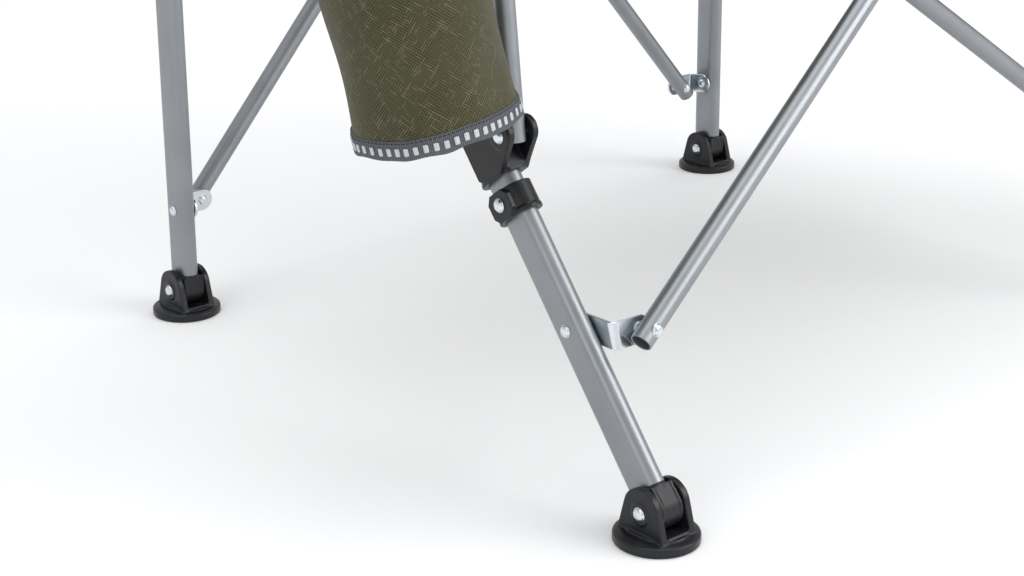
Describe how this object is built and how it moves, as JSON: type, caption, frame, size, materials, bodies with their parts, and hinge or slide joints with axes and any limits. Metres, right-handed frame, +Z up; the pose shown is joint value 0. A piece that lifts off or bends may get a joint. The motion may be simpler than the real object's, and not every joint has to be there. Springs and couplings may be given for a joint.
{
  "type": "folding camp chair",
  "caption": "High-back folding camp chair: steel tube frame with crossed tubes, sliding hubs and forks, swivel feet, sling seat, armrests and hanging pouches.",
  "frame": {"origin": "on the floor under the middle of the open chair", "axes": "+Z up, X across the chair, the sitter faces -Y"},
  "size_m": [1.0014, 0.6534, 1.06],
  "materials": {
    "steel": "satin grey powder-coated steel tube",
    "zinc": "bright zinc-plated steel",
    "black_plastic": "satin moulded black plastic",
    "olive_fabric": "olive woven polyester with embossed cross-hatch"
  },
  "bodies": {
    "backrest": {"backrest": "olive_fabric"},
    "seat": {"seat": "olive_fabric"},
    "left_side": {"left_rear_post": "steel", "left_rear_post_eye": "black_plastic", "left_rear_foot_pin": "zinc", "left_rear_bracket": "zinc", "left_post_cap": "black_plastic", "left_armrest_screw": "zinc"},
    "left_hub": {"left_rear_hub": "black_plastic", "left_hub_pin": "zinc"},
    "left_front_leg": {"left_front_leg": "steel", "left_front_leg_eye": "black_plastic", "left_front_leg_head": "black_plastic", "left_front_foot_pin": "zinc", "left_front_bracket_rivet": "zinc", "left_leg_collar": "black_plastic"},
    "left_fork": {"left_fork_slider": "black_plastic", "left_fork_pin": "zinc"},
    "left_upright": {"left_front_upright": "steel", "left_upright_cap": "black_plastic", "left_corner_bracket": "black_plastic", "left_side_pouch": "olive_fabric"},
    "left_bracket": {"left_front_bracket": "zinc"},
    "left_front_cross": {"left_front_diagonal": "steel", "left_front_diagonal_rivet": "zinc", "front_cross_rivet": "zinc"},
    "left_rear_cross": {"left_rear_diagonal": "steel", "left_rear_diagonal_rivet": "zinc", "rear_cross_rivet": "zinc"},
    "left_armrest": {"left_armrest": "olive_fabric"},
    "left_front_foot": {"left_front_foot": "black_plastic"},
    "left_rear_foot": {"left_rear_foot": "black_plastic"},
    "right_side": {"right_rear_post": "steel", "right_rear_post_eye": "black_plastic", "right_rear_foot_pin": "zinc", "right_rear_bracket": "zinc", "right_post_cap": "black_plastic", "right_armrest_screw": "zinc"},
    "right_hub": {"right_rear_hub": "black_plastic", "right_hub_pin": "zinc"},
    "right_front_leg": {"right_front_leg": "steel", "right_front_leg_eye": "black_plastic", "right_front_leg_head": "black_plastic", "right_front_foot_pin": "zinc", "right_front_bracket_rivet": "zinc", "right_leg_collar": "black_plastic"},
    "right_fork": {"right_fork_slider": "black_plastic", "right_fork_pin": "zinc"},
    "right_upright": {"right_front_upright": "steel", "right_upright_cap": "black_plastic", "right_corner_bracket": "black_plastic", "right_side_pouch": "olive_fabric"},
    "right_bracket": {"right_front_bracket": "zinc"},
    "right_front_cross": {"right_front_diagonal": "steel", "right_front_diagonal_rivet": "zinc"},
    "right_rear_cross": {"right_rear_diagonal": "steel", "right_rear_diagonal_rivet": "zinc"},
    "right_armrest": {"right_armrest": "olive_fabric"},
    "right_front_foot": {"right_front_foot": "black_plastic"},
    "right_rear_foot": {"right_rear_foot": "black_plastic"}
  },
  "joints": [
    {"name": "left_side_slide", "type": "slide", "parent": "backrest", "child": "left_side", "axis": [1, 0, 0], "range_m": [0, 0.24], "deforming": ["backrest", "left_side_pouch", "right_side_pouch"]},
    {"name": "left_hub_slide", "type": "slide", "parent": "left_side", "child": "left_hub", "axis": [0, 0, 1], "range_m": [0, 0.2218]},
    {"name": "left_front_leg_fold", "type": "hinge", "parent": "left_hub", "child": "left_front_leg", "pos_m": [-0.335, 0.2566, 0.73132], "axis": [1, 0, 0], "range_deg": [0, 34.8]},
    {"name": "left_fork_slide", "type": "slide", "parent": "left_front_leg", "child": "left_fork", "axis": [0, 0.6129, 0.7902], "range_m": [0, 0.29464]},
    {"name": "left_upright_fold", "type": "hinge", "parent": "left_fork", "child": "left_upright", "pos_m": [-0.335, -0.15049, 0.25464], "axis": [-1, 0, 0], "range_deg": [0, 31.8]},
    {"name": "left_bracket_fold", "type": "hinge", "parent": "left_front_leg", "child": "left_bracket", "pos_m": [-0.335, -0.21139, 0.128], "axis": [-1, 0, 0], "range_deg": [0, 23]},
    {"name": "left_front_cross_fold", "type": "hinge", "parent": "left_bracket", "child": "left_front_cross", "pos_m": [-0.302, -0.24129, 0.128], "axis": [0, -0.977, 0.213], "range_deg": [0, 45.29]},
    {"name": "left_rear_cross_fold", "type": "hinge", "parent": "left_side", "child": "left_rear_cross", "pos_m": [-0.302, 0.3104, 0.0933], "axis": [0, -1, 0], "range_deg": [0, 34.17]},
    {"name": "left_armrest_fold", "type": "hinge", "parent": "left_side", "child": "left_armrest", "pos_m": [-0.335, 0.2926, 0.673], "axis": [-1, 0, 0], "range_deg": [0, 80.89], "deforming": ["left_armrest"]},
    {"name": "left_front_foot_tilt", "type": "hinge", "parent": "left_front_leg", "child": "left_front_foot", "pos_m": [-0.335, -0.2926, 0.0233], "axis": [1, 0, 0], "range_deg": [-35, 35]},
    {"name": "left_rear_foot_tilt", "type": "hinge", "parent": "left_side", "child": "left_rear_foot", "pos_m": [-0.335, 0.2926, 0.0233], "axis": [1, 0, 0], "range_deg": [-20, 20]},
    {"name": "right_side_slide", "type": "slide", "parent": "backrest", "child": "right_side", "axis": [-1, 0, 0], "range_m": [0, 0.24]},
    {"name": "right_hub_slide", "type": "slide", "parent": "right_side", "child": "right_hub", "axis": [0, 0, 1], "range_m": [0, 0.2218]},
    {"name": "right_front_leg_fold", "type": "hinge", "parent": "right_hub", "child": "right_front_leg", "pos_m": [0.335, 0.2566, 0.73132], "axis": [1, 0, 0], "range_deg": [0, 34.8]},
    {"name": "right_fork_slide", "type": "slide", "parent": "right_front_leg", "child": "right_fork", "axis": [0, 0.6129, 0.7902], "range_m": [0, 0.29464]},
    {"name": "right_upright_fold", "type": "hinge", "parent": "right_fork", "child": "right_upright", "pos_m": [0.335, -0.15049, 0.25464], "axis": [-1, 0, 0], "range_deg": [0, 31.8]},
    {"name": "right_bracket_fold", "type": "hinge", "parent": "right_front_leg", "child": "right_bracket", "pos_m": [0.335, -0.21139, 0.128], "axis": [-1, 0, 0], "range_deg": [0, 23]},
    {"name": "right_front_cross_fold", "type": "hinge", "parent": "right_bracket", "child": "right_front_cross", "pos_m": [0.302, -0.24129, 0.128], "axis": [0, 0.977, -0.213], "range_deg": [0, 45.29]},
    {"name": "right_rear_cross_fold", "type": "hinge", "parent": "right_side", "child": "right_rear_cross", "pos_m": [0.302, 0.3104, 0.0933], "axis": [0, 1, 0], "range_deg": [0, 34.17]},
    {"name": "right_armrest_fold", "type": "hinge", "parent": "right_side", "child": "right_armrest", "pos_m": [0.335, 0.2926, 0.673], "axis": [-1, 0, 0], "range_deg": [0, 80.89], "deforming": ["right_armrest"]},
    {"name": "right_front_foot_tilt", "type": "hinge", "parent": "right_front_leg", "child": "right_front_foot", "pos_m": [0.335, -0.2926, 0.0233], "axis": [1, 0, 0], "range_deg": [-35, 35]},
    {"name": "right_rear_foot_tilt", "type": "hinge", "parent": "right_side", "child": "right_rear_foot", "pos_m": [0.335, 0.2926, 0.0233], "axis": [1, 0, 0], "range_deg": [-20, 20]},
    {"name": "seat_fold", "type": "hinge", "parent": "backrest", "child": "seat", "pos_m": [0, 0.262, 0.452], "axis": [-1, 0, 0], "range_deg": [0, 74.79], "deforming": ["seat"]}
  ],
  "couplings": [
    {"joint": "left_hub_slide", "follows": "left_side_slide", "ratio": 0.92417},
    {"joint": "left_front_leg_fold", "follows": "left_side_slide", "rad_per_m": 2.5305},
    {"joint": "left_fork_slide", "follows": "left_side_slide", "ratio": 1.2276},
    {"joint": "left_upright_fold", "follows": "left_side_slide", "rad_per_m": 2.3123},
    {"joint": "left_bracket_fold", "follows": "left_side_slide", "rad_per_m": 1.6721},
    {"joint": "left_front_cross_fold", "follows": "left_side_slide", "rad_per_m": 3.2936},
    {"joint": "left_rear_cross_fold", "follows": "left_side_slide", "rad_per_m": 2.4848},
    {"joint": "left_armrest_fold", "follows": "left_side_slide", "rad_per_m": 5.8822},
    {"joint": "right_side_slide", "follows": "left_side_slide", "ratio": 0.99999},
    {"joint": "right_hub_slide", "follows": "left_side_slide", "ratio": 0.92417},
    {"joint": "right_front_leg_fold", "follows": "left_side_slide", "rad_per_m": 2.5305},
    {"joint": "right_fork_slide", "follows": "left_side_slide", "ratio": 1.2276},
    {"joint": "right_upright_fold", "follows": "left_side_slide", "rad_per_m": 2.3123},
    {"joint": "right_bracket_fold", "follows": "left_side_slide", "rad_per_m": 1.6721},
    {"joint": "right_front_cross_fold", "follows": "left_side_slide", "rad_per_m": 3.2936},
    {"joint": "right_rear_cross_fold", "follows": "left_side_slide", "rad_per_m": 2.4848},
    {"joint": "right_armrest_fold", "follows": "left_side_slide", "rad_per_m": 5.8822},
    {"joint": "seat_fold", "follows": "left_side_slide", "rad_per_m": 5.4385}
  ]
}
